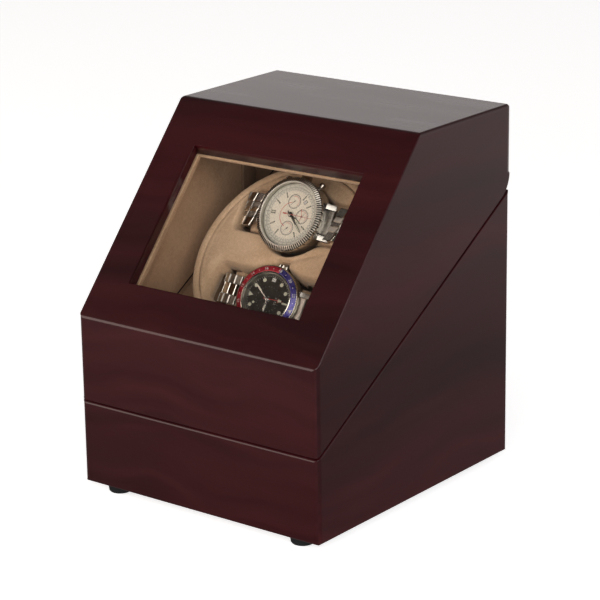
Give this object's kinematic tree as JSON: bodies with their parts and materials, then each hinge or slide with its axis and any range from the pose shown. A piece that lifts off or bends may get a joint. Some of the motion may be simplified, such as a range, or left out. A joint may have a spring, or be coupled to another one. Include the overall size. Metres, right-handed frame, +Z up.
{
  "type": "watch winder box",
  "caption": "Slant-fronted lacquered wooden watch winder with a glazed lifting lid, a motor-driven cushioned turntable and wristwatches on it.",
  "frame": {"origin": "middle of the case's footprint on the surface that the feet stand on", "axes": "+Z up, +X to the right seen from the front, +Y from the slanted front to the back"},
  "size_m": [0.178, 0.193, 0.2248],
  "materials": {
    "lacquered_wood": "high-gloss cherry lacquer",
    "suede": "beige suede cloth",
    "underside_board": "matt black-brown board",
    "pocket_liner": "moulded foam with cloth cover",
    "rubber": "matt black",
    "window_glass": "clear",
    "tan_paint": "matt tan paint to match the lining",
    "plated_steel": "bright plated",
    "zinc_sheet": "zinc plated, satin",
    "brass": "satin",
    "cleat_wood": "bare beech",
    "nylon": "natural nylon",
    "black_plastic": "fine matt texture",
    "circuit_board": "green solder mask",
    "watch_steel": "brushed and polished",
    "bezel_insert": "red and blue enamel in a steel ring",
    "crystal": "clear",
    "cream_dial": "cream with printed scales",
    "black_dial": "gloss black with pale markers",
    "steel_hands": "polished",
    "red_hands": "red enamel"
  },
  "bodies": {
    "case": {"base_case": "lacquered_wood", "bottom_panel": "underside_board", "foot_front_left": "rubber", "foot_front_right": "rubber", "foot_back_left": "rubber", "foot_back_right": "rubber", "deck_panel": "suede", "pivot_bracket_left": "tan_paint", "pivot_bracket_right": "tan_paint", "pivot_pin_left": "plated_steel", "pivot_pin_right": "plated_steel", "chassis_plate": "zinc_sheet", "cleat_left": "cleat_wood", "cleat_right": "cleat_wood", "spindle_bush": "brass", "gearmotor": "zinc_sheet", "control_panel": "black_plastic", "dc_socket": "black_plastic", "control_board": "circuit_board"},
    "lid": {"lid_shell": "lacquered_wood", "window_glass": "window_glass", "glazing_frame": "suede", "lid_lining_left": "suede", "lid_lining_right": "suede", "lid_lining_top": "suede", "lid_lining_rear": "suede", "lid_lining_front": "suede", "pivot_bush_left": "brass", "pivot_bush_right": "brass"},
    "turntable": {"turntable_drum": "suede", "turntable_rim": "suede", "turntable_face": "suede", "pocket_tray": "pocket_liner", "spindle": "plated_steel", "drive_gear": "nylon", "cushion_chrono": "suede", "cushion_gmt": "suede", "chrono_case": "watch_steel", "chrono_dial": "cream_dial", "chrono_crystal": "crystal", "chrono_bracelet": "watch_steel", "gmt_case": "watch_steel", "gmt_dial": "black_dial", "gmt_crystal": "crystal", "gmt_bracelet": "watch_steel"},
    "motor_output": {"motor_pinion": "nylon"},
    "rocker": {"power_rocker": "black_plastic"},
    "knob": {"program_knob": "black_plastic"},
    "chrono_bezel": {"chrono_bezel": "watch_steel"},
    "chrono_hour": {"chrono_hour_hand": "steel_hands"},
    "chrono_minute": {"chrono_minute_hand": "steel_hands"},
    "chrono_seconds": {"chrono_seconds_hand": "red_hands"},
    "chrono_crown": {"chrono_crown": "watch_steel"},
    "chrono_start": {"chrono_start_pusher": "watch_steel"},
    "chrono_reset": {"chrono_reset_pusher": "watch_steel"},
    "gmt_bezel": {"gmt_bezel": "bezel_insert"},
    "gmt_hour": {"gmt_hour_hand": "steel_hands"},
    "gmt_minute": {"gmt_minute_hand": "steel_hands"},
    "gmt_24h": {"gmt_24h_hand": "red_hands"},
    "gmt_crown": {"gmt_crown": "watch_steel"}
  },
  "joints": [
    {"name": "lid_hinge", "type": "hinge", "parent": "case", "child": "lid", "pos_m": [0, 0.0785, 0.18348], "axis": [-1, 0, 0], "range_deg": [0, 60]},
    {"name": "turntable_spin", "type": "hinge", "parent": "case", "child": "turntable", "pos_m": [0, -0.01319, 0.14089], "axis": [0, -0.7566, 0.6539], "continuous": true},
    {"name": "motor_spin", "type": "hinge", "parent": "case", "child": "motor_output", "pos_m": [0, -0.04262, 0.10684], "axis": [0, -0.7566, 0.6539], "continuous": true},
    {"name": "power_rocker_tilt", "type": "hinge", "parent": "case", "child": "rocker", "pos_m": [0, 0.08595, 0.0428], "axis": [1, 0, 0], "range_deg": [-7, 7]},
    {"name": "program_knob_turn", "type": "hinge", "parent": "case", "child": "knob", "pos_m": [0.022, 0.0875, 0.0428], "axis": [0, 1, 0], "range_deg": [-150, 150]},
    {"name": "chrono_bezel_turn", "type": "hinge", "parent": "turntable", "child": "chrono_bezel", "pos_m": [0, -0.0051, 0.16535], "axis": [0, -0.8743, 0.4854], "continuous": true},
    {"name": "chrono_minute_turn", "type": "hinge", "parent": "turntable", "child": "chrono_minute", "pos_m": [0, -0.0051, 0.16535], "axis": [0, -0.8743, 0.4854], "continuous": true},
    {"name": "chrono_hour_turn", "type": "hinge", "parent": "turntable", "child": "chrono_hour", "pos_m": [0, -0.00458, 0.16506], "axis": [0, -0.8743, 0.4854], "continuous": true},
    {"name": "chrono_seconds_turn", "type": "hinge", "parent": "turntable", "child": "chrono_seconds", "pos_m": [0, -0.00554, 0.16559], "axis": [0, -0.8743, 0.4854], "continuous": true},
    {"name": "chrono_crown_pull", "type": "slide", "parent": "turntable", "child": "chrono_crown", "axis": [0, 0.4854, 0.8743], "range_m": [0, 0.0012]},
    {"name": "chrono_start_press", "type": "slide", "parent": "turntable", "child": "chrono_start", "axis": [-0.4848, 0.4245, 0.7647], "range_m": [-0.0012, 0], "stiffness_N_per_m": 400},
    {"name": "chrono_reset_press", "type": "slide", "parent": "turntable", "child": "chrono_reset", "axis": [0.515, 0.4161, 0.7494], "range_m": [-0.0012, 0], "stiffness_N_per_m": 400},
    {"name": "gmt_bezel_turn", "type": "hinge", "parent": "turntable", "child": "gmt_bezel", "pos_m": [0.00014, -0.02848, 0.11894], "axis": [0.1389, -0.8699, 0.4732], "continuous": true},
    {"name": "gmt_minute_turn", "type": "hinge", "parent": "turntable", "child": "gmt_minute", "pos_m": [0.00014, -0.02848, 0.11894], "axis": [0.1389, -0.8699, 0.4732], "continuous": true},
    {"name": "gmt_hour_turn", "type": "hinge", "parent": "turntable", "child": "gmt_hour", "pos_m": [0.00006, -0.02796, 0.11865], "axis": [0.1389, -0.8699, 0.4732], "continuous": true},
    {"name": "gmt_24h_turn", "type": "hinge", "parent": "turntable", "child": "gmt_24h", "pos_m": [0.00019, -0.02883, 0.11913], "axis": [0.1389, -0.8699, 0.4732], "continuous": true},
    {"name": "gmt_crown_pull", "type": "slide", "parent": "turntable", "child": "gmt_crown", "axis": [0.061, 0.4845, 0.8727], "range_m": [0, 0.0009]}
  ],
  "couplings": [
    {"joint": "motor_spin", "follows": "turntable_spin", "ratio": -5},
    {"joint": "chrono_hour_turn", "follows": "chrono_minute_turn", "ratio": 0.083333},
    {"joint": "gmt_hour_turn", "follows": "gmt_minute_turn", "ratio": 0.083333},
    {"joint": "gmt_24h_turn", "follows": "gmt_minute_turn", "ratio": 0.041667}
  ]
}
